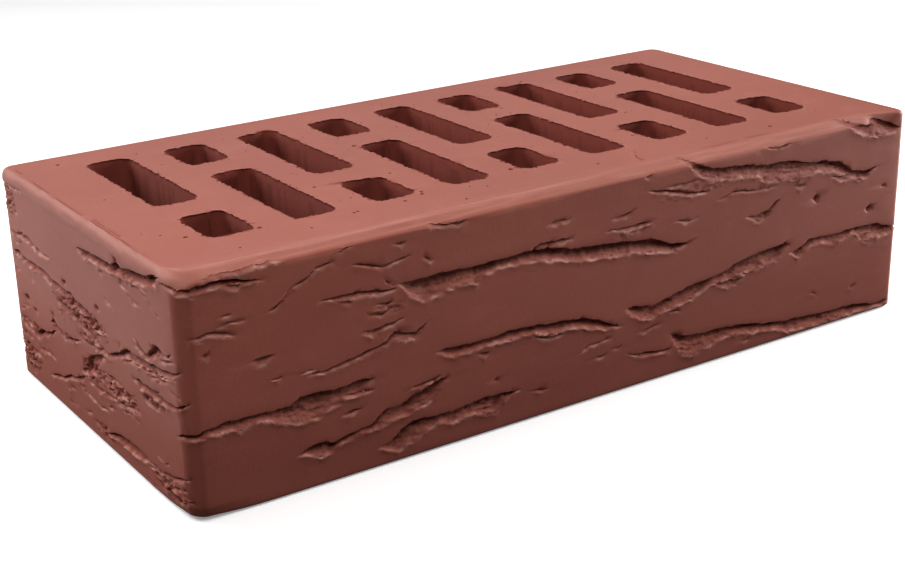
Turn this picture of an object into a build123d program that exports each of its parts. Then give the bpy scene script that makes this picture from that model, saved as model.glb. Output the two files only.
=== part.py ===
from build123d import *
import os

# Hollow facing brick of fired clay, with eighteen slots that run through it from bed to bed.
# A column of clay is pushed upwards through a die whose cores leave the slots, and a wire
# cuts it to height: the plan and its slots are straight prisms, and the two beds are flat.
# The wire drags two arrises of the upper bed over, the facing one and the one where it enters.
# Millimetres: X along the brick, Y from the facing side to the back, Z up.
# The origin is the middle of the lower bed.

# The fired brick
length = 250.0
width = 120.0
height = 65.0

# Slots, in columns of one long and one short slot that change places from column to column
column_count = 9
slot_width = 13.0
short_slot = 20.0
slot_radius = 3.5  # in the corners of every slot
facing_wall = 22.5  # clay between the facing side and the slots
back_wall = 14.5
end_wall = 20.5
web = 12.5  # clay between the two slots of a column

# Arrises, the edges of the brick, each worn to a flat arc
corner_radius = 3.0  # the four upright arrises, as the die's mouth leaves them
upper_radius = 1.6  # the upper bed's arrises that the wire leaves crisp
lower_radius = 1.2  # the lower bed's arrises
radius_bulge = 0.25  # rise of those arcs for each millimetre of radius, 0.29 being a full round
facing_roll_width = 6.5  # facing arris of the upper bed: how far in the wire drags it over
facing_roll_drop = 2.4  # how far down the face
facing_roll_bulge = 0.4  # and the rise of its arc
end_roll_width = 3.0  # the same for the end arris where the wire enters
end_roll_drop = 4.5
end_roll_bulge = 0.5

# What follows from those sizes
half_length = length / 2
half_width = width / 2
long_slot = width - facing_wall - back_wall - web - short_slot
rib = (length - 2 * end_wall - column_count * slot_width) / (column_count - 1)
column_pitch = slot_width + rib


def slot_plan():
    """All slots in plan: one long and one short slot in each column."""
    front = -half_width + facing_wall
    back = half_width - back_wall
    slots = Sketch()
    for column in range(column_count):
        x = (column - (column_count - 1) / 2) * column_pitch
        before, behind = (short_slot, long_slot) if column % 2 == 0 else (long_slot, short_slot)
        slots += Pos(x, front + before / 2) * RectangleRounded(slot_width, before, slot_radius)
        slots += Pos(x, back - behind / 2) * RectangleRounded(slot_width, behind, slot_radius)
    return slots


def round_arris(radius):
    """Width, drop and bulge of an arris that is worn evenly."""
    return radius, radius, radius_bulge * radius


def worn_section(left, right, low, high, arrises):
    """A rectangle with worn corners, listed from the lower left one, by the upper ones, round."""
    (w1, d1, b1), (w2, d2, b2), (w3, d3, b3), (w4, d4, b4) = arrises
    outline = Line((left, low + d1), (left, high - d2))
    outline += SagittaArc((left, high - d2), (left + w2, high), b2)
    outline += Line((left + w2, high), (right - w3, high))
    outline += SagittaArc((right - w3, high), (right, high - d3), b3)
    outline += Line((right, high - d3), (right, low + d4))
    outline += SagittaArc((right, low + d4), (right - w4, low), b4)
    outline += Line((right - w4, low), (left + w1, low))
    outline += SagittaArc((left + w1, low), (left, low + d1), b1)
    return make_face(outline)


def clay_block():
    """The block without its slots, where its plan and its two upright sections meet."""
    upright, crisp, base = (round_arris(r) for r in (corner_radius, upper_radius, lower_radius))
    facing_roll = (facing_roll_width, facing_roll_drop, facing_roll_bulge)
    end_roll = (end_roll_width, end_roll_drop, end_roll_bulge)
    plan = worn_section(-half_length, half_length, -half_width, half_width, [upright] * 4)
    across = worn_section(-half_width, half_width, 0, height, [base, facing_roll, crisp, base])
    along = worn_section(-half_length, half_length, 0, height, [base, end_roll, crisp, base])
    block = extrude(plan, height)
    block &= extrude(Plane.YZ * across, half_length, both=True)
    return block & extrude(Plane.XZ * along, half_width, both=True)


os.makedirs("parts", exist_ok=True)
brick = clay_block() - extrude(slot_plan(), height)
export_step(brick, "parts/brick.step")
print("clay volume", round(brick.volume), "of", round(length * width * height), "cubic mm")
print("long slot", round(long_slot, 2), "rib", round(rib, 2), "pitch", round(column_pitch, 2))
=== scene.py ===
import math

import bpy
import numpy as np
from mathutils import Matrix, Vector
from mathutils.geometry import delaunay_2d_cdt


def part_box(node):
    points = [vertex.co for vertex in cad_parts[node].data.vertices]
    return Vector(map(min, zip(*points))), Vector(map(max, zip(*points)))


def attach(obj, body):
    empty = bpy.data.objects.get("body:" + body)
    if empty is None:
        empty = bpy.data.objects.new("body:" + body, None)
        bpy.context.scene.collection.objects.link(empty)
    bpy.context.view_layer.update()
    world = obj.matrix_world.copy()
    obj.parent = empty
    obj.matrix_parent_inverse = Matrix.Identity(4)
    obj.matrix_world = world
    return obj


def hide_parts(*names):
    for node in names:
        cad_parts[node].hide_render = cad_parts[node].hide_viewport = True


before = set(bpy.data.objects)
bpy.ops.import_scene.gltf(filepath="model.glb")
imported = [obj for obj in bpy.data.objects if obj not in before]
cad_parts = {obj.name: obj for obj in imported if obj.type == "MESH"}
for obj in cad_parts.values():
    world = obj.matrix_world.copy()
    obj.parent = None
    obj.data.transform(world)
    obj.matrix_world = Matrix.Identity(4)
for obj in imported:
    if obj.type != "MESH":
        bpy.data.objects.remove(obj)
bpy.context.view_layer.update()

# The view: a long lens that looks down on the left end and the facing side of the brick.
# The place is in millimetres from the middle of the lower bed, the angles in degrees.
millimetre = 0.001
camera_place = (-263.4, -385.1, 192.5)
heading, downward, roll = 32.39, 20.79, -1.75
lens, shift_right, shift_up = 63.37, 0.0368, 0.0130

view = bpy.data.cameras.new("view")
view.lens = lens
view.shift_x = shift_right
view.shift_y = shift_up
camera = bpy.data.objects.new("view", view)
turn = Matrix.Rotation(math.radians(-heading), 4, "Z")
turn @= Matrix.Rotation(math.radians(90 - downward), 4, "X")
turn @= Matrix.Rotation(math.radians(roll), 4, "Z")
camera.matrix_world = Matrix.Translation(Vector(camera_place) * millimetre) @ turn
bpy.context.scene.collection.objects.link(camera)
bpy.context.scene.camera = camera

# The brick: one block of clay, pushed upwards through a die whose cores leave the slots and cut to
# height by a wire. A scraper tears its four wet sides, so that they look like bark, and firing turns
# it red. Places on the sides run round it: 0 at the near arris, plus along the facing side.
brick_low, brick_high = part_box("brick")
length, width, height = (brick_high - brick_low) / millimetre
perimeter = 2 * (length + width)
left_end, facing_end, right_end = -width, length, length + width

corner_radii = [2.4, 4.4, 3.0, 3.0, 2.4]  # far left, near, far right, back, far left again
lower_arris = (1.0, 1.0, 0.25)  # how far in, how far up or down the side, and the rise of its arc
crisp_arris = (1.0, 1.0, 0.25)
facing_arris = (6.5, 1.6, 0.4)  # dragged in over the bed by the wire
end_arris = (1.2, 4.2, 0.8)  # pushed out over the end where the wire enters
arris_blend = 8.0  # half of the stretch at a corner over which one arris turns into the next
far_fade = 10.0  # the drag of the facing arris ends that far before the far corner
radius_hold = 6.0  # the stretch each side of a corner that keeps its radius

row_step = 0.3  # from row to row of the mesh, and from column to column
seen_step = 0.6
hidden_step = 1.2
arc_points = 13


def ease(x):
    """From 0 to 1 with a soft start and end."""
    x = np.clip(x, 0, 1)
    return x * x * (3 - 2 * x)


def rough(along, up, long_grain, short_grain, seed):
    """Soft random relief from -1 to 1, with grains of that length and height, closed round the brick."""
    columns = max(2, round(perimeter / long_grain))
    rows = int(180 / short_grain) + 4
    dice = np.random.default_rng(seed).uniform(-1, 1, (columns, rows))
    across = (along % perimeter) * columns / perimeter
    upwards = np.clip((up + 20) / short_grain, 0, rows - 2)
    column, row = np.floor(across).astype(int), np.floor(upwards).astype(int)
    right, above = ease(across - column), ease(upwards - row)
    column, beside = column % columns, (column + 1) % columns
    low = dice[column, row] * (1 - right) + dice[beside, row] * right
    high = dice[column, row + 1] * (1 - right) + dice[beside, row + 1] * right
    return low * (1 - above) + high * above


# Its sides, as a sheet of rows from the lower bed to the upper one and columns round the brick.
def side_section(arris, steps):
    """Inset and height of a side, at even steps from the lower bed up to the upper one."""
    (foot_in, foot_up, foot_rise), (head_in, head_down, head_rise) = lower_arris, arris
    arcs = [((foot_in, 0), (0, foot_up), foot_rise), ((0, height - head_down), (head_in, height), head_rise)]
    outline = []
    for start, end, rise in arcs:
        way = np.linspace(0, 1, arc_points)[:, None]
        chord = np.subtract(end, start)
        out = np.array([-chord[1], chord[0]]) / np.hypot(*chord)
        outline.append(start + chord * way + out * rise * 4 * way * (1 - way))
    outline = np.concatenate(outline)
    travel = np.concatenate([[0], np.cumsum(np.hypot(*np.diff(outline, axis=0).T))])
    return [np.interp(steps * travel[-1], travel, outline[:, i]) for i in (0, 1)]


rows = round((height + 3) / row_step)
steps = np.linspace(0, 1, rows + 1)
along = np.concatenate([
    np.arange(left_end, facing_end, seen_step),
    np.arange(facing_end, left_end + perimeter, hidden_step),
])
corners = [left_end, 0, facing_end, right_end, left_end + perimeter]
half_length, half_width = length / 2, width / 2
square_x = np.interp(along, corners, [-half_length, -half_length, half_length, half_length, -half_length])
square_y = np.interp(along, corners, [half_width, -half_width, -half_width, half_width, half_width])
turns = [corner + side * radius for corner, radius in zip(corners, corner_radii) for side in (-1, 1)]
angles = [90, 180, 180, 270, 270, 360, 360, 450, 450, 540]
facing = np.radians(np.interp(along, turns, angles))
outward = np.stack([np.cos(facing), np.sin(facing)], axis=1)
holds = [corner + side * radius_hold for corner in corners for side in (-1, 1)]
radius = np.interp(along, holds, np.repeat(corner_radii, 2))
share_x = np.clip((square_x + half_length - radius) / (length - 2 * radius), 0, 1)
share_y = np.clip((square_y + half_width - radius) / (width - 2 * radius), 0, 1)


def past(corner):
    """0 before a corner and 1 after it."""
    return ease((along - corner + arris_blend) / (2 * arris_blend))


on_facing = past(0) - past(facing_end - far_fade)
on_end = past(left_end) - past(0) + past(left_end + perimeter)
inset_facing, height_facing = side_section(facing_arris, steps)
inset_end, height_end = side_section(end_arris, steps)
inset_crisp, height_crisp = side_section(crisp_arris, steps)
side_up = height_facing[:, None] * on_facing + height_end[:, None] * on_end
side_up = side_up + height_crisp[:, None] * (1 - on_facing - on_end)
rolled = past(left_end) - past(facing_end - far_fade) + past(left_end + perimeter)
inset_front = inset_crisp[:, None] + (inset_facing - inset_crisp)[:, None] * rolled
near_x, far_x = -half_length + inset_end[:, None] + radius, half_length - inset_crisp[:, None] - radius
near_y, far_y = -half_width + inset_front + radius, half_width - inset_crisp[:, None] - radius
side_x = near_x + (far_x - near_x) * share_x + radius * outward[:, 0]
side_y = near_y + (far_y - near_y) * share_y + radius * outward[:, 1]

# The tears in them. Each has its upper lip, which hangs over; its lower lip, or how wide it gapes;
# and its depth. Lips are points along the line round the brick and above the lower bed.
facing_tears = [
    ([(-7, 61.6), (-3.6, 62.4), (-0.6, 61.8), (4, 61.7), (9.3, 62.5), (14.5, 62), (19, 61), (24, 60)],
     [(-7, 60.4), (-3.6, 60.8), (-0.6, 60), (4, 59.8), (9.3, 60.6), (14.5, 60.4), (19, 59.6),
      (24, 59.2)], 1.4),
    ([(5, 63.8), (8, 63.6), (12, 63.8), (17, 63.8), (24, 63.7), (30, 64)], 0.7, 0.7),
    ([(11, 61.2), (15, 60.4), (19, 60.6)], 1.6, 0.6),
    ([(1, 49), (5, 49.4), (8, 49.9), (13, 48.6), (16, 47)], 1.6, 0.6),
    ([(9, 50.6), (14, 51.3), (19, 50.6)], 0.8, 0.4),
    ([(10, 53.1), (15, 53.1)], 0.6, 0.3),
    ([(22, 51.3), (26, 52), (29, 54.6), (31, 56.6), (35, 57.6), (38, 60), (42, 60.2), (45, 58)], 0.9, 0.5),
    ([(47, 58.4), (52, 57.7), (57, 56.1), (62, 56.8), (67, 57.2)], 1.1, 0.6),
    ([(43, 61.8), (47, 63.2), (50, 63.6)], 0.8, 0.5),
    ([(60, 61.4), (65, 61)], 1.0, 0.4),
    ([(69, 56), (73, 54.2)], 1.5, 0.5),
    ([(37, 50.6), (45, 51), (50, 50.8), (56, 49.7), (62, 49.2)],
     [(37, 49.8), (45, 49.4), (50, 49.3), (56, 47.7), (62, 47.8)], 0.9),
    ([(44, 49.3), (48, 48.6)], 1.0, 0.4),
    ([(57, 52.9), (59, 51.4), (61.5, 49.8)], 0.9, 0.6),
    ([(61, 50), (66, 50), (70, 49.9), (75, 50), (90, 49.6), (103, 49.9), (110, 49.6), (118, 47.6),
      (130, 46.2), (146, 44.5), (150, 43), (155, 41), (161, 40.3)],
     [(61, 47.6), (65, 44.4), (70, 43.2), (76, 44.6), (80, 45.2), (86, 44.6), (88, 46), (93, 47.3),
      (100, 46.8), (110, 45.5), (123, 42.7), (140, 41.3), (150, 39.5), (155, 38.3), (161, 38.4)], 2.2),
    ([(54, 46.4), (58, 45.8), (61, 45.6)], 1.0, 0.5),
    ([(53, 43.2), (56, 43), (61, 45)], 1.0, 0.6),
    ([(49, 39.4), (53, 39.6), (58, 39.9), (64, 40.8)],
     [(49, 36.8), (54, 37.4), (58, 38.8), (64, 39.8)], 0.9),
    ([(33, 31.9), (38, 31.9), (44, 32.9), (50, 33.9), (57, 35.2), (60, 37.6), (63, 36.2), (66, 35.2),
      (69, 37), (72, 38.6)],
     [(33, 31), (38, 30.9), (44, 31.7), (50, 32.6), (57, 33.8), (60, 34.6), (63, 33.9), (66, 33.2),
      (69, 35.4), (72, 37.4)], 0.8),
    ([(17, 38.8), (20, 40), (26, 39.9)],
     [(17, 36.6), (20, 37.2), (26, 38.6)], 0.8),
    ([(5, 44.2), (7, 44.4), (9, 46.4)], 1.5, 0.5),
    ([(-7, 22.4), (-3, 23.6), (0, 24), (3, 24.2), (6, 24.8), (10, 25.4), (16, 25.2), (22, 25), (28, 24.7),
      (31, 26.2), (36, 26.5), (40, 26), (48, 26.4), (54, 26.2)],
     [(-7, 21.4), (-3, 22.4), (3, 22.6), (8, 22.8), (14, 21.9), (18, 22.6), (22, 22.2), (25, 20.8),
      (30, 19.6), (34, 18.9), (38, 19.6), (41, 21), (46, 22.3), (52, 21.8), (54, 23)], 1.5),
    ([(40, 24), (45, 23.5), (50, 22.9), (54, 22.9)], 1.0, 0.6),
    ([(29, 10), (32, 11.6), (36, 12.4), (38, 12.2), (40, 11.2), (44, 12.3), (48, 12.7), (52, 13.2),
      (56, 16.1), (60, 16.2), (65, 18), (70, 19.4), (77, 21)],
     [(29, 9.2), (33, 9), (37, 8.3), (40, 8.3), (42, 10.2), (48, 11.2), (52, 11), (57, 11.8), (62, 12.6),
      (68, 13.9), (73, 15.1), (77, 17)], 1.7),
    ([(62, 19.6), (65, 20.5), (70, 21.1), (75, 21.7)], 1.1, 0.7),
    ([(53, 5.2), (58, 7), (61, 9.2), (64, 10.4), (68, 10.5), (72, 10), (76, 9.8), (82, 10.6), (86, 11),
      (93, 10.6), (101, 10.1)],
     [(53, 3.8), (57, 2.8), (62, 3.4), (66, 4.9), (70, 6.3), (73, 8), (76, 6.3), (80, 6.7), (85, 6.6),
      (92, 5.3), (94, 7.8), (101, 9.1)], 1.5),
    ([(72, 28.2), (76, 28.5), (84, 28), (90, 28), (98, 28.6), (105, 28), (115, 26.9), (122, 26), (128, 24),
      (132, 21.8), (137, 20)],
     [(72, 25.6), (80, 25.5), (93, 25.8), (103, 25.5), (112, 24.2), (120, 23.4), (131, 20.4),
      (137, 19.2)], 1.8),
    ([(86, 24.8), (90, 24.3)], 1.6, 0.7),
    ([(102, 50.6), (107, 51.6), (113, 51.4), (119, 50.5)], 1.2, 0.7),
    ([(104, 24.6), (110, 23.8), (116, 23.2)], 1.5, 0.6),
    ([(137, 24.9), (141, 25), (147, 23.9), (153, 24.9), (160, 26.4), (172, 27.6), (180, 29.6), (190, 31.2),
      (200, 31.9), (202.5, 31)],
     [(137, 20.2), (145, 19.8), (150, 20.2), (157, 21.5), (163, 22.2), (170, 25.4), (176, 24.8),
      (184, 25.9), (190, 26.1), (202.5, 27.2)], 1.9),
    ([(169, 25.6), (174, 25), (180, 24.6), (184, 24.6)],
     [(169, 24.9), (174, 22.9), (180, 22.6), (184, 23.4)], 0.9),
    ([(152, 20.9), (156, 20.4), (159, 19.7)], 0.9, 0.7),
    ([(201, 27.9), (204, 28.3), (210, 30.9), (220, 30.4), (230, 30.6), (240, 29.9), (247, 27.6),
      (252, 27)],
     [(201, 27), (205, 24.8), (208, 27.2), (213, 28.8), (221, 26.9), (229, 28.6), (234, 25.4), (243, 25),
      (252, 25.6)], 1.3),
    ([(154, 13.6), (158, 12), (162, 11), (170, 10.4), (180, 9.9), (190, 7.9), (200, 6.2), (220, 4.8),
      (232, 4.6), (240, 2.8), (250, 2.2)],
     [(154, 6.6), (158, 5), (164, 4), (172, 6), (178, 6.9), (188, 5.3), (197, 4.4), (203, 1.8), (225, 1.2),
      (250, 1)], 1.5),
    ([(137, 11.6), (140, 10.5), (150, 9.3), (156, 8.6)],
     [(137, 10.9), (141, 9), (150, 7.6), (156, 6)], 0.8),
    ([(157, 65.2), (161, 64.6), (165, 62.4), (170, 60.9), (180, 59.9), (190, 58.2), (200, 57.8),
      (210, 55.2), (215, 55.3), (222, 53.2), (227, 50), (232, 48.6), (239, 49.2)],
     [(157, 64), (161, 61.4), (165, 58.6), (170, 56.8), (178, 56.4), (187, 55), (190, 52.4), (198, 52.2),
      (204, 51), (213, 52), (222, 49.4), (230, 46), (239, 47.4)], 1.5),
    ([(217, 49.8), (222, 49.2), (229, 47.6)],
     [(217, 48.2), (222, 47.4), (229, 45.8)], 0.8),
    ([(144, 59.3), (150, 58.2), (155, 57.2), (160, 55.6), (169, 54.4)], 1.3, 0.6),
    ([(150, 59), (157, 58.7), (165, 58.9)], 0.9, 0.4),
    ([(131, 53.3), (136, 53.8), (142, 55)],
     [(131, 51.2), (136, 52.4), (142, 54)], 0.7),
    ([(129, 50.2), (137, 49.9), (143, 50), (147, 49.6)],
     [(129, 49.2), (137, 48.8), (143, 48), (147, 47)], 0.7),
    ([(154, 48.4), (160, 47.3), (165, 47.6)], 0.9, 0.5),
    ([(168, 50.4), (178, 52.5), (186, 51.4), (196, 51)], 0.9, 0.4),
    ([(221, 65.4), (225, 64.9), (229, 63.6), (232.6, 62.8), (235, 63.4), (238, 63.9), (242, 62.6),
      (246, 60.6), (248, 60)],
     [(221, 64.4), (225, 62.8), (229, 61), (233, 59.4), (238, 58.8), (243, 58.2), (248, 57)], 1.5),
    ([(188, 64), (195, 62.7), (201, 63.4)], 0.7, 0.6),
    ([(182, 43.6), (188, 43.4), (191, 43.8), (195, 46.2), (198, 46.6)],
     [(182, 42.4), (188, 40.3), (192, 41.6), (195, 43.4), (198, 45.4)], 0.9),
    ([(202, 49.3), (208, 49.3)], 1.1, 0.4),
    ([(108, 55.8), (112, 56.5), (119, 56.8)], 1.6, 0.4),
    ([(119, 15.4), (124, 17.4), (133, 17.6)], 1.0, 0.5),
    ([(126, 12.6), (131, 13.3)], 0.9, 0.4),
    ([(133, 14), (136, 14.4)], 0.9, 0.4),
    ([(141, 16.6), (147, 17.3), (152, 17.8)], 1.0, 0.4),
    ([(103, 8.9), (110, 8)], 0.9, 0.4),
    ([(70, 64), (73, 63.6), (77, 63.2), (80, 61.8)], 1.1, 0.8),
    ([(77, 63.6), (80, 62.8), (84, 62.8)], 1.1, 0.7),
    ([(143, 63), (148, 63.8)], 1.0, 0.5),
]
end_tears = [
    ([(-64, 55.6), (-59, 56.4), (-52, 57), (-46, 57.2), (-39, 57.8), (-35, 59.4), (-32, 58.6), (-26, 59.8),
      (-20, 60.4), (-14, 61.4), (-8, 62.6), (-4, 63.2)],
     [(-64, 53.8), (-57, 54.1), (-49, 54.8), (-41, 55.6), (-35, 56), (-28, 56.6), (-22, 57.4), (-16, 58.3),
      (-9, 60.6), (-4, 61.8)], 2.2),
    ([(-119, 46.6), (-110, 47.2), (-103, 48), (-96, 46.8), (-90, 46.4), (-83, 46.8)],
     [(-119, 45.2), (-110, 46), (-103, 46), (-96, 45), (-90, 45.2), (-83, 45.8)], 1.0),
    ([(-119, 40), (-112, 41.4), (-104, 40.4), (-98, 40.8), (-92, 41.4), (-88, 40.8), (-84, 40),
      (-80, 40.4), (-75, 39.8), (-71, 40.4), (-67, 39), (-62, 38.6), (-57, 37.4), (-52, 36.2),
      (-47, 34.8)],
     [(-119, 38), (-112, 39.2), (-104, 38.6), (-98, 38.8), (-92, 38.9), (-84, 38), (-80, 38.4),
      (-75, 37.8), (-71, 38), (-67, 37), (-62, 36.8), (-52, 34.6), (-47, 33.6)], 1.5),
    ([(-84, 34.6), (-77, 34.8), (-70, 34), (-62, 33.2), (-56, 33), (-51, 31.6), (-47, 30.6), (-43, 32),
      (-39, 33.6), (-35, 35.8), (-30, 36.4), (-24, 36.8), (-16, 38), (-8, 39), (0, 41)],
     [(-84, 33.4), (-70, 32.4), (-56, 31.4), (-47, 29), (-39, 31.6), (-35, 33.6), (-24, 34.6), (-8, 37),
      (0, 39.4)], 1.0),
    ([(-38, 31.8), (-30, 34), (-20, 35), (-10, 36.8), (-2, 38.8)], 0.9, 0.7),
    ([(-30, 41.6), (-26, 41), (-23, 39.8), (-20, 39.6), (-17, 42), (-14, 43.9), (-11.5, 43.4), (-9, 43),
      (-4, 45)],
     [(-30, 40.6), (-24, 38.6), (-20, 38.2), (-17, 39), (-14, 40.6), (-11.5, 41.8), (-4, 43.6)], 1.6),
    ([(-18, 40.6), (-10, 41.6), (-2, 43)], 1.0, 0.6),
    ([(-32, 28.8), (-27, 30.2), (-24, 29.9), (-18, 30.2), (-10, 30.2), (-5, 30.4), (0, 32), (2, 33)],
     [(-32, 27.6), (-27, 27.6), (-24, 28), (-16, 28.4), (-8, 28.8), (0, 30.8), (2, 32)], 1.6),
    ([(-29, 27.4), (-24, 26.4), (-20, 25.9), (-13, 26.2)], 1.1, 0.7),
    ([(-97, 7), (-91, 9.2), (-85, 10.4), (-80, 12.8), (-73, 14.4), (-68, 16.8), (-64, 18)],
     [(-97, 6), (-91, 7.8), (-85, 9.2), (-80, 11.2), (-73, 13), (-68, 15), (-64, 16.4)], 1.1),
    ([(-70, 17.4), (-66, 20), (-62, 24.2), (-57, 26.8), (-52, 28.4), (-48, 28)],
     [(-70, 16.4), (-65, 16.8), (-61, 19), (-57, 21.6), (-52, 26), (-48, 27)], 0.9),
    ([(-92, 25), (-88, 27), (-83, 25.4), (-78, 25), (-72, 26.4), (-66, 27.6)],
     [(-92, 24), (-88, 25), (-83, 23.8), (-78, 23.6), (-72, 25), (-66, 26.6)], 1.2),
    ([(-120, 19.2), (-110, 18.4), (-103, 18), (-100, 20.4), (-96, 20.6), (-91, 22.4), (-86, 24.6)],
     [(-120, 17.6), (-110, 16.6), (-103, 15.8), (-100, 17.4), (-96, 19), (-91, 21.2), (-86, 23.8)], 1.5),
    ([(-121, 14.4), (-107, 14.8)], 1.2, 0.7),
    ([(-120, 10.8), (-112, 11.4), (-105, 11.6), (-100, 10.4)], 2.0, 1.0),
    ([(-104, 13), (-96, 14.8), (-88, 14.4)], 0.9, 0.5),
    ([(-70, 12.2), (-62, 12), (-56, 11.6), (-50, 12.6)], 0.8, 0.5),
    ([(-65, 16.6), (-55, 17.4), (-46, 18.2), (-38, 19.2), (-28, 21)], 1.1, 0.8),
    ([(-56, 20.6), (-46, 22.4), (-38, 22.2), (-30, 22.8)], 1.2, 0.8),
    ([(-54, 23), (-46, 24.6), (-36, 24)], 1.0, 0.7),
    ([(-48, 19.6), (-40, 20.6), (-32, 20.4)], 0.8, 0.5),
    ([(-54, 4.6), (-47, 7.2), (-40, 8.2), (-34, 8.4), (-28, 8), (-23, 7.4)],
     [(-54, 3.4), (-47, 5.2), (-40, 5.6), (-34, 5.4), (-28, 5.8), (-23, 6.6)], 2.2),
    ([(-24, 7.4), (-18, 8), (-11, 9.4), (-4, 11.2), (0, 12)], 1.2, 0.9),
    ([(-18, 5.4), (-10, 6.6), (-2, 8.6)], 1.2, 0.8),
    ([(-64, 5.6), (-58, 4.8), (-54, 6.2)], 1.4, 0.8),
    ([(-47, 46.8), (-43, 46.4), (-39, 45.2)], 0.9, 0.5),
    ([(-120, 61), (-110, 61.4), (-101, 62)], 0.9, 0.5),
]
pits = [  # along, up, radius and depth of the small holes where a grain fell out
    (212, 43.6, 1.5, 0.8), (236, 35.8, 1.4, 1.0), (242, 42, 1.0, 0.6), (92, 15.2, 0.9, 0.5),
    (-109, 27, 1.5, 1.0), (-103, 25.2, 1.0, 0.7), (-88, 28.6, 1.0, 0.7), (-52, 41.6, 1.0, 0.9),
    (-76, 42, 1.3, 0.9), (-27, 29.4, 1.2, 1.2), (-14, 42.6, 1.4, 1.4), (-90, 40, 1.3, 0.9),
    (-101, 18.4, 1.5, 1.1), (-35, 60.4, 0.8, 0.7), (-43, 57, 0.9, 0.7), (-43, 7.3, 1.4, 1.4),
    (-38, 7.7, 1.5, 1.7), (-33, 7.5, 1.5, 1.7), (-28, 7.3, 1.3, 1.2),
]
crumbled = [  # along, up, reach each way and strength of the patches torn rough between the tears
    (-66, 36, 19, 3.8, 1.0), (-60, 30, 10, 2.0, 0.6), (-40, 56.6, 20, 1.6, 0.8), (-42, 21.5, 14, 3.0, 0.8),
    (-20, 27, 9, 2.0, 0.8), (-112, 8, 9, 4.5, 0.9), (-12, 5, 12, 2.6, 0.8), (-115, 56, 5, 5.0, 0.6),
    (58, 44, 7, 1.6, 0.5), (162, 56.5, 14, 3.0, 0.3), (140, 48.5, 8, 1.6, 0.35), (-108, 19, 10, 2.0, 0.8),
    (-26, 35.5, 16, 1.8, 0.7), (-56, 4.5, 7, 2.0, 0.8), (-80, 25, 10, 1.5, 0.6), (-61, 21.6, 7, 4.4, 0.9),
]
finely_torn = [  # start and end along, lowest and highest, and the number of short tears there
    (-119, -100, 4, 58, 14), (-86, -44, 28, 38, 22), (-60, -24, 14, 26, 18), (-30, 0, 3, 12, 10),
    (-32, 0, 24, 44, 12), (-104, -60, 4, 14, 9), (-62, -8, 53, 59, 12), (0, 250, 4, 60, 9),
]


def unseen_tears(start, end, count, seed):
    """Tears of the same kind for a side that the photograph doesn't show."""
    dice = np.random.default_rng(seed)
    tears = []
    for number in range(count):
        big = number < count // 3
        reach = dice.uniform(40, 95) if big else dice.uniform(8, 30)
        first = dice.uniform(start + 2, end - 2 - reach)
        level = 6 + (height - 12) * ((number * 0.618) % 1) + dice.uniform(-2, 2)
        points = np.arange(0, reach + 6, 6 if big else 4)
        wander = np.cumsum(dice.normal(dice.uniform(-0.5, 0.5), 0.7 if big else 0.4, len(points)))
        upper = np.clip(level + wander, 2.5, height - 3)
        gape = dice.uniform(1.2, 4.0, len(points)) if big else dice.uniform(0.8, 1.6, len(points))
        depth = dice.uniform(1.4, 2.1) if big else dice.uniform(0.4, 0.8)
        lips = [list(zip(first + points, line)) for line in (upper, np.maximum(upper - gape, 0.6))]
        tears.append((*lips, depth))
    return tears


def fine_tears(start, end, low, high, count, seed):
    """Short shallow tears strewn over a stretch of the sides."""
    dice = np.random.default_rng(seed)
    tears = []
    for number in range(count):
        reach = dice.uniform(3, 9)
        first = dice.uniform(start, end - reach)
        level = dice.uniform(low, high)
        points = np.linspace(first, first + reach, 4)
        wander = level + np.cumsum(dice.normal(0, 0.45, 4)) + dice.uniform(-0.25, 0.25) * (points - first)
        tears.append((list(zip(points, wander)), dice.uniform(0.5, 1.1), dice.uniform(0.25, 0.7)))
    return tears


tears = facing_tears + end_tears
for number, (start, end, low, high, count) in enumerate(finely_torn):
    tears = tears + fine_tears(start, end, low, high, count, 60 + number)
tears = tears + unseen_tears(facing_end, right_end, 22, 5)
tears = tears + unseen_tears(right_end, left_end + perimeter, 44, 8)
tears = tears + fine_tears(facing_end + 4, right_end - 4, 5, 60, 50, 91)
tears = tears + fine_tears(right_end + 4, left_end + perimeter - 4, 5, 60, 70, 92)

brow, overhang = 0.12, 0.35  # how far an upper lip stands out and hangs, for one millimetre of depth
brow_reach, sag_reach = 2.6, 1.1  # and how far up from the lip the clay stands out and sags
tuck, tuck_reach = 0.14, 0.6  # how far its edge turns back in, and how far up
crest, least_crest = 0.15, 0.15  # rise of a lower lip, for one millimetre of depth and at the least
crest_reach = 0.7  # how far down from the lower lip the clay stands out
deepest = 0.35  # share of the gape at which the torn hollow is deepest
steepest = 0.8  # rise of the hollow, for one millimetre down
ledges = 3  # the clay tears off in thin sheets
least_gape = 0.6
crack_width = 0.6  # the undercut right below an upper lip
tip_reach, gape_reach = 4, 7  # from a tip, how soon a tear has its depth and its gape
shade_reach, darkest = 1.4, 0.75  # how far below the upper lip the painted shade reaches, and how dark it gets at most
highlight_width = 0.36  # of the painted highlight along a lower lip, where its crest catches the light
swell = np.zeros_like(side_up)
scoop = np.zeros_like(side_up)
sink = np.zeros_like(side_up)
torn = np.zeros_like(side_up)
# painted shade: darkening where shadow falls in tears, pits, crumbled hollows, slots and along the lower
# arris
painted_shade = np.zeros_like(side_up)
painted_light_and_wear = np.zeros_like(side_up)
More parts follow.
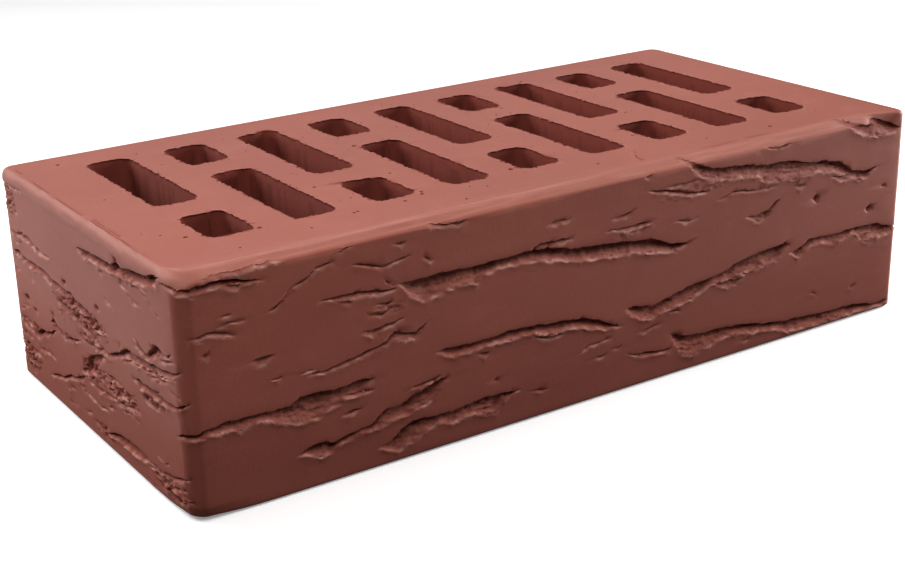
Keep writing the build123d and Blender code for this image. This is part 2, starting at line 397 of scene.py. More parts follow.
for number, (upper, lower, depth) in enumerate(tears):
    first, last = upper[0][0], upper[-1][0]
    here = (along - first + 6) % perimeter + first - 6
    near = np.nonzero((here > first) & (here < last))[0]
    here = here[near]
    up = side_up[:, near]
    from_tip = np.minimum(here - first, last - here)
    short_tip = (last - first) / 2.5
    fade = ease(from_tip / min(tip_reach, short_tip))
    lip = np.interp(here, *np.transpose(upper))
    sill = np.interp(here, *np.transpose(lower)) if isinstance(lower, list) else lip - lower
    sill = lip - (lip - sill) * (0.25 + 0.75 * ease(from_tip / min(gape_reach, short_tip)))
    bite = depth * fade * (1 + 0.3 * rough(here, 0 * here, 9, 1, number + 800))
    steady = 1 / (1 + 3 * np.gradient(lip, here) ** 2)  # a steep lip doesn't hang over
    hang = overhang * bite * steady
    lip = lip + hang + 0.20 * rough(here, 0 * here, 2.6, 1, number)
    sill = sill + 0.3 * rough(here, 0 * here, 2.4, 1, number + 400)
    level = 1 / (1 + 3 * np.gradient(sill, here) ** 2)
    way = np.clip((lip - up) / np.maximum(lip - sill, least_gape), 0, 1)
    fringe = 0.42 if first < 0 else 0.3  # the left end crumbles more
    lip = lip + 0.14 * rough(here, 0 * here, 0.9, 1, number + 200)
    sill = sill + fringe * rough(here, 0 * here, 0.9, 1, number + 600)
    gape = np.maximum(lip - sill, least_gape)
    under = lip - up
    above = under <= row_step / 2
    dip = np.minimum(0.88 * bite, steepest * gape)
    fall = 0.55 + 0.45 * ease(way / deepest)
    climb = np.clip((1 - way) / (1 - deepest), 0, 1) ** 0.85
    ledge = ledges * climb + 0.6 * rough(here, 0 * here, 7, 1, number + 970)
    step = np.floor(ledge)
    climb = 0.45 * climb + 0.55 * (step + ease(2.5 * (ledge - step) - 0.75)) / ledges
    lift = (least_crest + crest * depth) * fade * level
    lift = lift * (1 + 0.5 * rough(here, 0 * here, 3.1, 1, number + 900))
    hollow = -dip * np.where(way < deepest, fall, climb) + lift * way ** 4
    hollow = hollow - 0.35 * bite * steady * np.exp(-(under / crack_width) ** 2)
    rim = np.minimum(under, 0)
    bulge = brow * np.exp(rim / brow_reach) - tuck * steady * np.exp(rim / tuck_reach)
    swell[:, near] += np.where(above, bite * bulge, 0)
    swell[:, near] += np.where(under > gape, lift * np.exp(-np.maximum(under - gape, 0) / crest_reach), 0)
    inside = ~above & (under < gape)
    scoop[:, near] = np.where(inside, np.minimum(scoop[:, near], hollow), scoop[:, near])
    snap = np.where(np.abs(under) < row_step / 2, under, 0)
    sink[:, near] += np.where(above, hang * np.exp(rim / sag_reach) - snap, 0)
    torn[:, near] = np.maximum(torn[:, near], np.where(inside, fade * np.minimum(depth, 1), 0))
    # painted shade under each upper lip, where the lip's shadow falls
    shade = (0.1 + 0.85 * bite) * fade * np.exp(-np.maximum(under - hang, 0) / shade_reach)
    painted_shade[:, near] = np.maximum(painted_shade[:, near], np.where(inside, np.minimum(shade, darkest), 0))
    # painted highlight: a pale line along the crest of each lower lip
    edge = fade * level * np.exp(-((under - gape) / highlight_width) ** 2)
    edge = edge * min(1, 0.4 + depth / 1.5) * (0.6 + 0.9 * rough(here, 0 * here, 1.8, 1, number + 950))
    painted_light_and_wear[:, near] = np.maximum(painted_light_and_wear[:, near], edge)

around = np.broadcast_to(along, side_up.shape)
strewn_share = 0.25 * torn ** 2
for spot, up, radius, depth in pits:
    apart = np.hypot((around - spot) / 1.5, side_up - up) / radius
    apart = apart + 0.35 * rough(around, side_up, 1.1, 0.9, 31)
    dip = ease(1.1 - apart)
    scoop = np.minimum(scoop, -depth * dip)
    torn = np.maximum(torn, 0.6 * dip)
    # painted shade in each pit, darkest in its upper part under the rim
    painted_shade = np.maximum(painted_shade, 1.2 * depth * ease(0.9 + (side_up - up) / radius) * dip)
for spot, up, reach, rise, strength in crumbled:
    patch = ease(1.3 - np.hypot((around - spot) / reach, (side_up - up) / rise) ** 2)
    bits = rough(around, side_up, 1.5, 0.8, 41) + 0.7 * rough(around, side_up, 0.8, 0.5, 42)
    scoop = scoop + patch * strength * 0.7 * np.clip(bits - 0.25, -0.9, 0.35)
    torn = np.maximum(torn, 0.75 * patch * strength)
    strewn_share = np.maximum(strewn_share, patch * strength)
    # painted shade in the deepest bits of each crumbled patch
    painted_shade = np.maximum(painted_shade, patch * strength * 1.2 * ease(-2.0 * bits - 0.1))

fibres = 0.24 * rough(around, side_up, 3.6, 0.9, 51) + 0.22 * rough(around, side_up, 1.0, 0.5, 52)
plate = 0.07 * rough(around, side_up, 44, 19, 53) + 0.03 * rough(around, side_up, 11, 4.5, 54)
plate = plate + 0.012 * rough(around, side_up, 16, 0.9, 55)
push = swell + scoop + torn * fibres + plate - 0.05
hem = ease(side_up / 2.0) * ease((height + 0.3 - side_up) / 2.5)  # the arrises stay nearly whole
push = push * (0.25 + 0.75 * hem)
sink = sink * hem
bead = on_end * ease((side_up - height + 5) / 2)  # the skin dragged over the end arris is wavy
push = push + bead * (0.16 * rough(around, side_up, 13, 5, 56) + 0.14 * rough(around, side_up, 4.2, 1.8, 57))
knock = np.exp(-(along / 11) ** 2)  # the near corner of the lower bed is knocked round
push = push - 0.9 * knock * ease(1 - side_up / 4)
painted_shade = np.maximum(painted_shade, 0.5 * ease(1 - side_up / 1.1))  # painted contact shadow along the lower arris it stands on
# painted shade on the upright arris at the far end of the facing side
painted_shade = np.maximum(painted_shade, 0.6 * np.exp(-((along - facing_end - 2) / 2.0) ** 2))
side_x = side_x + push * outward[:, 0]
side_y = side_y + push * outward[:, 1]
band = inset_facing[:, None] * on_facing  # how far in over the rolled facing arris, with its drag marks
drag = ease((band - 0.6) / 1.5) * ease((facing_arris[0] - band) / 1.2)
drag = drag * (0.16 * rough(around, 2 * band, 30, 3.0, 58) + 0.07 * rough(around, 2 * band, 7, 1.2, 59))
side_z = np.clip(side_up - sink, 0, height) + drag
side_z[0], side_z[-1] = 0, height
side_z = side_z + 0.6 * knock * ease(1 - side_up / 6)
# painted sheen: the rolled facing arris and the end arris are painted pale pink for a glancing reflection
painted_sheen = 0.32 * ease((band - 0.2) / 0.8) * ease((facing_arris[0] + 0.5 - band) / 2)
painted_sheen = painted_sheen + 0.2 * bead * ease((side_up - height + 4.4) / 0.6)
painted_light_and_wear = np.maximum(painted_light_and_wear, painted_sheen * (0.8 + 0.4 * rough(around, 2 * band + side_up, 6, 1.6, 61)))

# Its slots: the columns of one long and one short slot change places from column to column.
slot_columns = 9
slot_width, short_slot, slot_radius = 13.0, 20.0, 3.1
facing_wall, back_wall, end_wall, web = 22.5, 14.5, 20.5, 12.5
long_slot = width - facing_wall - back_wall - web - short_slot
column_pitch = (length - 2 * end_wall - slot_width) / (slot_columns - 1)
slots = []
for column in range(slot_columns):
    x = (column - (slot_columns - 1) / 2) * column_pitch
    before, behind = (short_slot, long_slot) if column % 2 == 0 else (long_slot, short_slot)
    slots.append((x, -half_width + facing_wall + before / 2, slot_width / 2, before / 2))
    slots.append((x, half_width - back_wall - behind / 2, slot_width / 2, behind / 2))


def slot_ring(slot, spacing, offset=0.0):
    """Points round a slot, anticlockwise, the way out of the clay at each, and the distance gone."""
    x, y, reach_x, reach_y = slot
    radius = slot_radius + offset
    straight_x, straight_y = 2 * (reach_x - slot_radius), 2 * (reach_y - slot_radius)
    quarter = math.pi / 2 * radius
    stops = np.cumsum([0] + 2 * [straight_y, quarter, straight_x, quarter])
    count = round(stops[-1] / spacing)
    gone = np.arange(count) * stops[-1] / count
    angle = np.radians(np.interp(gone, stops, [0, 0, 90, 90, 180, 180, 270, 270, 360]))
    half_x, half_y = straight_x / 2, straight_y / 2
    centre_x = np.interp(gone, stops, np.repeat([half_x, -half_x, half_x], (3, 4, 2)))
    centre_y = np.interp(gone, stops, np.repeat([-half_y, half_y, -half_y], (1, 4, 4)))
    away = np.stack([np.cos(angle), np.sin(angle)], axis=1)
    return np.stack([x + centre_x, y + centre_y], axis=1) + radius * away, away, gone


def slot_distance(points):
    """How far each point is from the nearest slot."""
    nearest = np.full(len(points), 1e9)
    for x, y, reach_x, reach_y in slots:
        over = np.abs(points - (x, y)) - (reach_x - slot_radius, reach_y - slot_radius)
        gap = np.hypot(*np.maximum(over, 0).T) + np.minimum(over.max(axis=1), 0) - slot_radius
        nearest = np.minimum(nearest, gap)
    return nearest


# Its chipped rims and the fine marks on the upper bed, in millimetres from the near corner of the brick.
chips = [  # where a rim has broken away: x, y, how wide and how far
    (80, 104, 3.2, 1.5), (73, 43, 3.2, 1.0), (92, 99, 2.2, 1.3), (92.5, 93, 1.8, 1.2), (84, 33, 2.2, 1.0),
    (117, 77, 2.0, 0.7), (124, 52, 2.0, 0.9), (170, 105, 2.6, 1.2), (32, 24, 1.2, 0.6), (58, 97, 1.4, 0.7),
]
bed_pits = [
    (34.5, 22.5, 0.8), (76, 18.5, 0.6), (83, 21, 0.7), (14.3, 110.8, 0.7), (15.9, 27.2, 0.7),
    (93.2, 73.9, 0.9), (115.5, 25, 0.9), (204, 13, 0.7), (90, 10, 0.5), (60, 18, 0.5), (63, 44.5, 0.6),
    (138, 14, 0.5), (86.6, 43, 0.5), (84, 22.8, 0.6), (61.2, 18.4, 0.5), (154, 82.8, 0.5),
    (152.4, 76, 0.4), (165, 31, 0.5), (151.7, 13.7, 0.4), (23.3, 11.5, 0.4), (11.4, 32.4, 0.4),
    (130, 105, 0.4), (109, 96, 0.4), (45, 14, 0.4), (196, 22, 0.4), (180, 15, 0.4), (66, 30, 0.4),
    (101, 16, 0.4), (12, 70, 0.4), (230, 60, 0.4),
]
bed_cracks = [  # fine cracks where the wire dragged a skin of clay over the arris
    [(2.6, 8), (2.0, 17.5), (1.8, 26), (2.1, 34), (1.8, 46), (2.0, 60), (1.8, 75), (2.1, 94), (2.6, 113)],
    [(3.1, 38), (2.7, 47), (3.0, 58)],
    [(168, 7.4), (178, 7.0), (190, 7.5), (200, 7.2)],
    [(154, 17), (151, 12.5), (150, 9)],
    [(152, 84), (149, 79), (147, 76)],
    [(181, 109), (178, 106), (176, 104)],
]
near_corner = np.array([-half_length, -half_width])


def bed_relief(points, seed):
    """Height of a bed's fine relief, how torn it is there, and the painted shade of its nicks, which grows
    with how deep they are.
    """
    x, y = points[:, 0] + half_length, points[:, 1] + half_width
    rim = np.maximum(slot_distance(points), 0)
    relief = 0.05 * rough(x, y, 30, 30, seed) + 0.015 * rough(x, y, 6, 6, seed + 1)
    burr = 0.06 + 0.12 * rough(x, y, 1.7, 1.7, seed + 2) + 0.10 * rough(x, y, 0.8, 0.8, seed + 3)
    burr = np.exp(-rim / 0.6) * burr
    nick = np.exp(-rim / 0.8) * np.minimum(rough(x, y, 2.3, 2.3, seed + 4) + 0.5, 0) * 1.3
    worn = np.clip(np.exp(-rim / 0.7) * (0.45 + 0.5 * rough(x, y, 2.4, 2.4, seed + 5)), 0, 1)
    return relief + burr + nick - 0.10, worn, -nick * 1.5


rim_step = 0.5
undercut = 0.45  # the wire leaves a burr over the upper edge of a slot's wall
wall_levels = np.array([0, 0.3, 0.75, 1.5, 2.8, 5, 9, 15, 23])
wall_levels = np.concatenate([wall_levels, [height / 2], (height - wall_levels)[::-1]])

corners_3d, tiles = [], []
layers = {"torn": [], "painted_shade": [], "painted_light_and_wear": [], "loose": []}


def add_points(points, torn_there, painted_shade_there, painted_light_and_wear_there, loose_there):
    """Adds points to the brick's mesh, and gives the number of the first of them."""
    start = sum(len(block) for block in corners_3d)
    corners_3d.append(points)
    for layer, values in zip(layers.values(), (torn_there, painted_shade_there, painted_light_and_wear_there, loose_there)):
        layer.append(np.broadcast_to(values, len(points)))
    return start


def add_sheet(start, row_count, column_count):
    """Adds the tiles of a closed sheet of rows, whose columns go round anticlockwise."""
    row, column = np.mgrid[0:row_count - 1, 0:column_count]
    beside = (column + 1) % column_count
    quads = np.stack([row * column_count + column, row * column_count + beside,
                      (row + 1) * column_count + beside, (row + 1) * column_count + column], axis=-1)
    tiles.append(start + quads.reshape(-1, 4))


side_points = np.stack([side_x, side_y, side_z], axis=-1).reshape(-1, 3)
side_start = add_points(side_points, torn.ravel(), painted_shade.ravel(), painted_light_and_wear.ravel(), strewn_share.ravel())
add_sheet(side_start, rows + 1, len(along))

slot_starts, slot_counts, rims = [], [], []
for number, slot in enumerate(slots):
    ring, away, gone = slot_ring(slot, rim_step)
    turn_by = gone / gone[-1] * perimeter  # the slot's own way round, so that its relief closes
    grain = perimeter / gone[-1]
    depth = wall_levels[:, None]
    ragged = np.exp(-np.minimum(depth, height - depth) / 0.6)
    jag = 0.10 * rough(turn_by, 0 * turn_by, 2.6 * grain, 1, 900 + number)
    jag = jag + 0.9 * np.maximum(rough(turn_by, 0 * turn_by, 0.8 * grain, 1, 930 + number) - 0.38, 0)
    streaks = 0.02 * rough(turn_by + 0 * depth, depth + 0 * turn_by, 1.6 * grain, 40, 960 + number)
    streaks = streaks + 0.06 * rough(turn_by + 0 * depth, depth + 0 * turn_by, 7 * grain, 22, 990 + number)
    shift = ragged * jag + (1 - ragged) * streaks
    shift = shift + undercut * np.exp(-((height - depth - 0.5) / 0.4) ** 2)
    for x, y, reach, bite in chips:
        apart = np.hypot(*(ring - near_corner - (x, y)).T)
        gap = ease(1.25 - apart / reach) * (1 + 0.4 * rough(turn_by, 0 * turn_by, 1.2 * grain, 1, 77))
        shift = shift + bite * gap * np.exp(-(height - depth) / 2.0)
    wall_x = ring[:, 0] + shift * away[:, 0]
    wall_y = ring[:, 1] + shift * away[:, 1]
    wall_z = depth + 0 * wall_x
    wall = np.stack([wall_x, wall_y, wall_z], axis=-1)
    wall[-1, :, 2] += bed_relief(wall[-1, :, :2], 100)[0]
    wall[0, :, 2] += np.maximum(-bed_relief(wall[0, :, :2], 300)[0], 0)
    # painted shade darkens the slot walls all through; they are a little torn and never pale
    start = add_points(wall.reshape(-1, 3), 0.3, 1.1, 0.0, (0.25 * ragged ** 2 + 0 * wall_x).ravel())
    add_sheet(start, len(wall_levels), len(ring))
    slot_starts.append(start)
    slot_counts.append(len(ring))
    rims.append((wall[0, :, :2], wall[-1, :, :2], away))


def crack_points(cracks, spacing, sideways):
    """Extra points along the cracks, so that the mesh can follow them."""
    points = []
    for crack in cracks:
        line = np.array(crack, float)
        travel = np.concatenate([[0], np.cumsum(np.hypot(*np.diff(line, axis=0).T))])
        gone = np.arange(0, travel[-1], spacing)
        path = np.stack([np.interp(gone, travel, line[:, i]) for i in (0, 1)], axis=1) + near_corner
        way = np.gradient(path, axis=0)
        side = np.stack([-way[:, 1], way[:, 0]], axis=1) / np.hypot(*way.T)[:, None]
        points += [path + side * shift for shift in sideways]
    return np.concatenate(points)


def crack_depth(points, cracks):
    """How deep the cracks cut at each point."""
    deep = np.zeros(len(points))
    for crack in cracks:
        line = np.array(crack, float) + near_corner
        for start, end in zip(line[:-1], line[1:]):
            step = end - start
            share = np.clip(((points - start) @ step) / (step @ step), 0, 1)
            apart = np.hypot(*(points - start - share[:, None] * step).T)
            deep = np.maximum(deep, ease(1.15 - apart / 0.4))
    return deep


def nearest(points, outline):
    """How far each point is from the nearest point of an outline."""
    return np.array([np.hypot(*(outline - point).T).min() for point in points])


def within(points, outline):
    """Which points lie inside a closed outline."""
    x, y = points[:, :1], points[:, 1:]
    start, end = outline, np.roll(outline, -1, axis=0)
    spans = (start[:, 1] > y) != (end[:, 1] > y)
    rise = np.where(end[:, 1] == start[:, 1], 1, end[:, 1] - start[:, 1])
    crossing = start[:, 0] + (y - start[:, 1]) / rise * (end[:, 0] - start[:, 0])
    return (spans & (x < crossing)).sum(axis=1) % 2 == 1


def lay_bed(level, spacing, seed):
    """Fills a bed between the sides and the slots with a loose net of triangles, and gives it its relief."""
    edge_row = rows if level else 0
    edge = side_start + edge_row * len(along) + np.arange(len(along))
    fixed = [edge]
    for start, count in zip(slot_starts, slot_counts):
        fixed.append(start + level * (len(wall_levels) - 1) * count + np.arange(count))
    everything = np.concatenate(corners_3d)
    fixed_points = [everything[ring][:, :2] for ring in fixed]
    outline = fixed_points[0]
    loops = []
    first = 0
    for ring in fixed:
        numbers = first + np.arange(len(ring))
        loops += list(zip(numbers.tolist(), np.roll(numbers, -1).tolist()))
        first += len(ring)

    dice = np.random.default_rng(seed)
    grid = np.mgrid[-half_length:half_length:spacing, -half_width:half_width:spacing].reshape(2, -1).T
    grid = grid + dice.uniform(-0.3, 0.3, grid.shape) * spacing
    extra = [grid[(slot_distance(grid) > 3.2) & (nearest(grid, outline) > 3.6)]]
    for rim in rims:
        for skip, offset in ((1, 0.3), (1, 0.7), (2, 1.3), (3, 2.2)):
            extra.append((rim[level] + offset * rim[2])[::skip])
    for skip, offset in ((1, 0.6), (1, 1.4), (2, 2.6)):
        extra.append((outline - offset * outward)[::skip])
    if level:
        extra.append(crack_points(bed_cracks, 0.5, (-0.35, 0, 0.35)))
        for x, y, radius in bed_pits:
            angle = np.arange(8) * math.pi / 4
            circle = np.stack([np.cos(angle), np.sin(angle)], axis=1) * radius
            extra.append(near_corner + (x, y) + np.concatenate([[(0, 0)], 0.8 * circle, 1.1 * circle]))
    extra = np.concatenate(extra)
    inner = extra[within(extra, outline - 0.3 * outward) & (slot_distance(extra) > 0.15)]

    flat = [Vector(p) for p in np.concatenate(fixed_points + [inner]).tolist()]
    _, _, net, came_from, _, _ = delaunay_2d_cdt(flat, loops, [], 1, 1e-5, True)
    owner = np.full(len(flat), -1)
    owner[:first] = np.repeat(np.arange(len(fixed)), [len(ring) for ring in fixed])
    number_of = np.array([origin[0] if origin else -1 for origin in came_from])
    relief, worn, hollow = bed_relief(inner, seed)
    relief = relief * ease(nearest(inner, outline) / 2.2)
    if level:
        broken = rough(inner[:, 0] + half_length, inner[:, 1] + half_width, 6, 6, seed + 9)
        cracked = crack_depth(inner, bed_cracks) * ease(0.7 + 1.1 * broken)
        relief = relief - 0.3 * cracked
        # hollow darkens the cracks here and the pits below as painted shade
        hollow = hollow + 0.9 * cracked
        for x, y, radius in bed_pits:
            dip = ease((1.08 - np.hypot(*(inner - near_corner - (x, y)).T) / radius) / 0.26)
            relief = relief - 0.7 * radius * dip
            hollow = hollow + dip
        heights = height + relief
    else:
        heights = np.maximum(-relief, 0)
    # worn rims are torn and paler; hollow is painted shade in nicks, cracks and pits
    start = add_points(np.column_stack([inner, heights]), worn, hollow, 0.3 * worn, 0.5 * worn)
    numbers = np.concatenate(fixed + [start + np.arange(len(inner))])
    triangles = number_of[np.array([face for face in net if len(face) == 3])]
    owners = owner[triangles]
    stray = (owners[:, 0] == owners[:, 1]) & (owners[:, 1] == owners[:, 2]) & (owners[:, 0] >= 0)
    middles = np.array(flat)[triangles].mean(axis=1)
    for number, line in enumerate(fixed_points):  # no clay inside a slot's rim or outside the sides
        own = np.nonzero(stray & (owners[:, 0] == number))[0]
        stray[own] = within(middles[own], line) == (number > 0)
    triangles = numbers[triangles[~stray]]
    tiles.append(triangles if level else triangles[:, ::-1])


lay_bed(1, 1.9, 100)
lay_bed(0, 3.2, 300)

brick_mesh = bpy.data.meshes.new("fired_brick")
points = np.concatenate(corners_3d) * millimetre
brick_mesh.from_pydata(points.tolist(), [], [face for block in tiles for face in block.tolist()])
for name, values in layers.items():
    layer = brick_mesh.attributes.new(name, "FLOAT", "POINT")
    layer.data.foreach_set("value", np.concatenate(values).astype(np.float32))
brick = bpy.data.objects.new("fired_brick", brick_mesh)
bpy.context.scene.collection.objects.link(brick)

# The torn sheet is far finer than a smooth plate of clay needs, so it is thinned where it is smooth.
most_triangles = 185000
triangle_count = sum(len(face.vertices) - 2 for face in brick_mesh.polygons)
thinning = brick.modifiers.new("thin", "DECIMATE")
thinning.ratio = most_triangles / triangle_count
evaluated = brick.evaluated_get(bpy.context.evaluated_depsgraph_get())
thinned = bpy.data.meshes.new_from_object(evaluated)
brick.modifiers.clear()
brick.data = thinned
thinned.shade_smooth()
thinned.set_sharp_from_angle(angle=math.radians(62))


# The fired clay: iron-red body with darker and lighter drifts, paler and rougher where it is torn, with
# painted shade and painted highlights and sheen blended into its colour.
clay = bpy.data.materials.new("fired_clay")
clay.use_nodes = True
clay_tree = clay.node_tree
clay_tree.nodes.clear()


class Wire:
    """A socket of the clay's nodes, with the arithmetic that adds Math nodes."""

    def __init__(self, socket):
        self.socket = socket

    def __add__(self, other):
        return clay_maths("ADD", self, other)

    def __radd__(self, other):
        return clay_maths("ADD", other, self)

    def __mul__(self, other):
        return clay_maths("MULTIPLY", self, other)

    def __rmul__(self, other):
        return clay_maths("MULTIPLY", other, self)


def clay_node(kind, settings, sockets):
    """Adds a node: its settings first, then the values or wires of its sockets."""
    node = clay_tree.nodes.new(kind)
    for name, value in settings.items():
        setattr(node, name, value)
    for name, value in sockets.items():
        if isinstance(value, Wire):
            clay_tree.links.new(value.socket, node.inputs[name])
        else:
            node.inputs[name].default_value = value
    return node


def clay_maths(operation, first, second):
    """One Math node on two values or wires."""
    return Wire(clay_node("ShaderNodeMath", {"operation": operation}, {0: first, 1: second}).outputs[0])


def clay_noise(place, scale, detail, stretch=(1, 1, 1)):
    """Noise of that many grains to the metre, stretched along the axes."""
    shaped = clay_node("ShaderNodeMapping", {}, {"Vector": place, "Scale": stretch})
    sockets = {"Vector": Wire(shaped.outputs[0]), "Scale": scale, "Detail": detail}
    return Wire(clay_node("ShaderNodeTexNoise", {}, sockets).outputs["Fac"])


def clay_blend(share, first, second):
    """Two colours mixed by a share."""
    node = clay_node("ShaderNodeMix", {"data_type": "RGBA"}, {0: share, 6: first, 7: second})
    return Wire(node.outputs[2])


def clay_band(value, low, high):
    """0 below the low mark and 1 above the high one."""
    sockets = {"Value": value, "From Min": low, "From Max": high}
    return Wire(clay_node("ShaderNodeMapRange", {"interpolation_type": "SMOOTHSTEP"}, sockets).outputs[0])


body_red = (0.335, 0.090, 0.060, 1)
dark_red = (0.255, 0.062, 0.043, 1)
pale_red = (0.430, 0.140, 0.100, 1)
torn_red = (0.315, 0.097, 0.072, 1)
# the brown of painted shade, then the pink of painted highlights, painted sheen and worn slot rims
painted_shade_brown = (0.125, 0.016, 0.009, 1)
highlight_and_wear_pink = (0.560, 0.255, 0.205, 1)

place = Wire(clay_node("ShaderNodeTexCoord", {}, {}).outputs["Object"])
torn_share = Wire(clay_node("ShaderNodeAttribute", {"attribute_name": "torn"}, {}).outputs["Fac"])
painted_shade_share = Wire(clay_node("ShaderNodeAttribute", {"attribute_name": "painted_shade"}, {}).outputs["Fac"])
painted_light_and_wear_share = Wire(clay_node("ShaderNodeAttribute", {"attribute_name": "painted_light_and_wear"}, {}).outputs["Fac"])
heights = clay_node("ShaderNodeSeparateXYZ", {}, {"Vector": place})
low_share = clay_band(Wire(heights.outputs["Z"]), 0.040, 0.004)
drift = clay_noise(place, 18, 3, (1, 1, 2.2))
mottle = clay_noise(place, 95, 4, (1, 1, 2.0))
grain = clay_noise(place, 900, 5)
grit = clay_noise(place, 2600, 2)

colour = clay_blend(clay_band(drift, 0.38, 0.62) * 0.3 + 0.7, dark_red, body_red)
colour = clay_blend(clay_band(mottle, 0.50, 0.80) * 0.25, colour, pale_red)
colour = clay_blend(clay_band(grain, 0.56, 0.75) * 0.25, colour, pale_red)
colour = clay_blend(clay_band(grit, 0.62, 0.74) * 0.35, colour, dark_red)
# painted shade: darker towards the bottom, over the lowest 40 millimetres
colour = clay_blend(low_share * 0.4, colour, dark_red)
colour = clay_blend(torn_share * (0.3 + 0.5 * mottle), colour, torn_red)
# painted highlights along lower lips and painted sheen on the rolled arrises, and pale wear near the slot
# rims
colour = clay_blend(painted_light_and_wear_share, colour, highlight_and_wear_pink)
# painted shade: brown where shadow falls in tears, pits, crumbled hollows, slots, bed cracks and along the
# lower arris
colour = clay_blend(clay_band(painted_shade_share, 0.1, 1.3) * 0.9, colour, painted_shade_brown)
roughness = 0.52 + 0.10 * mottle + 0.12 * torn_share + 0.25 * low_share + 0.25 * painted_shade_share
relief = grain * (0.5 + 2.4 * torn_share) + 0.35 * grit
bump = clay_node("ShaderNodeBump", {}, {"Strength": 0.35, "Distance": 0.00022, "Height": relief})
finish = clay_node("ShaderNodeBsdfPrincipled", {}, {
    "Base Color": colour, "Roughness": roughness, "Specular IOR Level": 0.22,
    "Normal": Wire(bump.outputs[0]),
})
clay_node("ShaderNodeOutputMaterial", {}, {"Surface": Wire(finish.outputs[0])})

thinned.materials.clear()
thinned.materials.append(clay)
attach(brick, "root")
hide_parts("brick")

# The crumbs: grit and splinters of the same clay that stick in the tears and along the slot rims.
# Geometry Nodes scatter small stones over the brick, more of them where it is torn.
crumb_tree = bpy.data.node_groups.new("clay_crumbs", "GeometryNodeTree")
crumb_tree.interface.new_socket("Geometry", in_out="INPUT", socket_type="NodeSocketGeometry")
for name in ("Density", "Smallest", "Largest"):
    crumb_tree.interface.new_socket(name, in_out="INPUT", socket_type="NodeSocketFloat")
crumb_tree.interface.new_socket("Geometry", in_out="OUTPUT", socket_type="NodeSocketGeometry")


def crumb_node(kind, settings, sockets):
    """Adds a node to the crumbs: its settings first, then the values or wires of its sockets."""
    node = crumb_tree.nodes.new(kind)
    for name, value in settings.items():
        setattr(node, name, value)
    for name, value in sockets.items():
        if isinstance(value, bpy.types.NodeSocket):
            crumb_tree.links.new(value, node.inputs[name])
        else:
            node.inputs[name].default_value = value
    return node


sizes = crumb_node("NodeGroupInput", {}, {}).outputs
loose = crumb_node("GeometryNodeInputNamedAttribute", {"data_type": "FLOAT"}, {"Name": "loose"}).outputs[0]
density = crumb_node("ShaderNodeMath", {"operation": "MULTIPLY"}, {0: loose, 1: sizes["Density"]}).outputs[0]
scatter = crumb_node("GeometryNodeDistributePointsOnFaces", {"distribute_method": "RANDOM"}, {
    "Mesh": sizes["Geometry"], "Density": density, "Seed": 4,
})
stone = crumb_node("GeometryNodeMeshIcoSphere", {}, {"Radius": 0.5, "Subdivisions": 1}).outputs[0]
spin = crumb_node("FunctionNodeRandomValue", {"data_type": "FLOAT_VECTOR"}, {1: (6.3, 6.3, 6.3), "Seed": 7})
girth = crumb_node("FunctionNodeRandomValue", {"data_type": "FLOAT"}, {
    2: sizes["Smallest"], 3: sizes["Largest"], "Seed": 11,
})
slender = crumb_node("FunctionNodeRandomValue", {"data_type": "FLOAT_VECTOR"}, {
    0: (0.6, 0.5, 0.4), 1: (1.5, 1.0, 0.8), "Seed": 13,
})
scale = crumb_node("ShaderNodeVectorMath", {"operation": "SCALE"}, {
    0: slender.outputs[0], "Scale": girth.outputs[1],
})
stones = crumb_node("GeometryNodeInstanceOnPoints", {}, {
    "Points": scatter.outputs["Points"], "Instance": stone,
    "Rotation": spin.outputs[0], "Scale": scale.outputs[0],
})
real = crumb_node("GeometryNodeRealizeInstances", {}, {"Geometry": stones.outputs[0]})
coat = crumb_node("GeometryNodeSetMaterial", {}, {"Geometry": real.outputs[0], "Material": clay})
crumb_node("NodeGroupOutput", {}, {"Geometry": coat.outputs[0]})

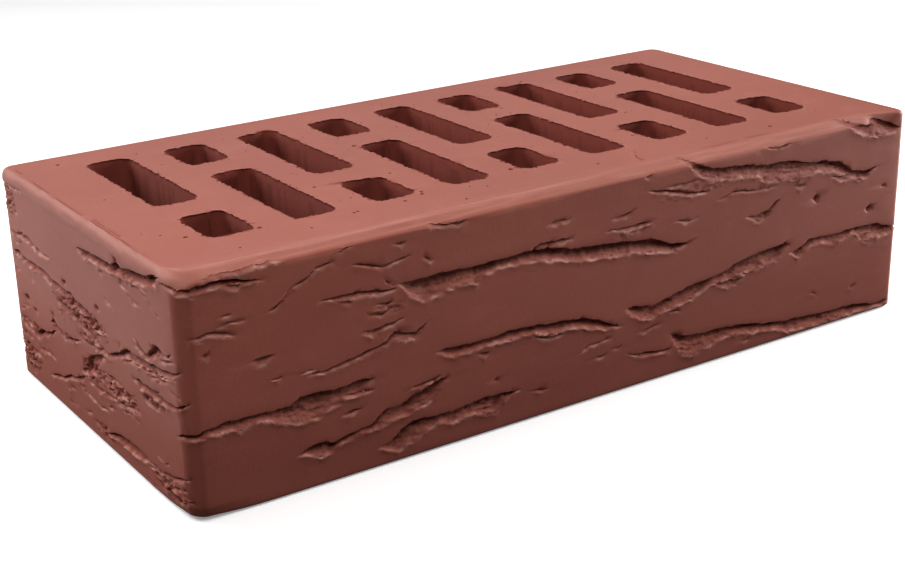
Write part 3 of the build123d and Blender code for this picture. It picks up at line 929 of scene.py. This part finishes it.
crumbs = bpy.data.objects.new("clay_crumbs", thinned)
bpy.context.scene.collection.objects.link(crumbs)
strewing = crumbs.modifiers.new("strew", "NODES")
strewing.node_group = crumb_tree
crumb_sizes = {
    "Density": 0.55 / millimetre ** 2, "Smallest": 0.22 * millimetre, "Largest": 0.62 * millimetre,
}
for socket in crumb_tree.interface.items_tree:
    if socket.in_out == "INPUT" and socket.name in crumb_sizes:
        strewing[socket.identifier] = crumb_sizes[socket.name]
strewn = bpy.data.meshes.new_from_object(crumbs.evaluated_get(bpy.context.evaluated_depsgraph_get()))
crumbs.modifiers.clear()
crumbs.data = strewn
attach(crumbs, "root")

# The floor: a plain pale sheet under the brick, so large that it fills the view.
floor_mesh = bpy.data.meshes.new("floor")
floor_reach = 6.0
floor_corners = [(x * floor_reach, y * floor_reach, 0) for x, y in ((-1, -1), (1, -1), (1, 1), (-1, 1))]
floor_mesh.from_pydata(floor_corners, [], [(0, 1, 2, 3)])
floor = bpy.data.objects.new("floor", floor_mesh)
bpy.context.scene.collection.objects.link(floor)
floor.location.z = -0.0002
paper = bpy.data.materials.new("paper")
paper.use_nodes = True
paper_sockets = paper.node_tree.nodes["Principled BSDF"].inputs
paper_sockets["Base Color"].default_value = (0.95, 0.95, 0.95, 1)
paper_sockets["Roughness"].default_value = 0.9
paper_sockets["Emission Color"].default_value = (1, 1, 1, 1)
paper_sockets["Emission Strength"].default_value = 0.25
floor_mesh.materials.append(paper)
floor.visible_diffuse = False


# The light: a soft box low on each side, a small one overhead and a wide backdrop behind the brick.
# The near upright arris turns away from both side boxes, so it stays dark between two lit sides.
def soft_light(name, place, size, power):
    """A square soft source that looks at the middle of the brick and isn't seen itself."""
    source = bpy.data.lights.new(name, "AREA")
    source.size = size
    source.energy = power
    lamp = bpy.data.objects.new(name, source)
    lamp.location = place
    lamp.rotation_euler = (Vector((0, 0, 0.03)) - Vector(place)).to_track_quat("-Z", "Y").to_euler()
    lamp.visible_camera = False
    bpy.context.scene.collection.objects.link(lamp)


soft_light("overhead", (-0.20, -0.19, 0.48), 0.40, 1.84)
soft_light("right", (0.67, -0.09, 0.15), 0.40, 10.0)
soft_light("left", (-0.40, 0.45, 0.32), 0.36, 3.5)
soft_light("backdrop", (0.50, 1.40, 0.90), 1.8, 10.2)
room = bpy.data.worlds.new("room")
room.use_nodes = True
room.node_tree.nodes["Background"].inputs["Color"].default_value = (1, 1, 1, 1)
room.node_tree.nodes["Background"].inputs["Strength"].default_value = 0.024
bpy.context.scene.world = room
bpy.context.scene.view_settings.view_transform = "Standard"
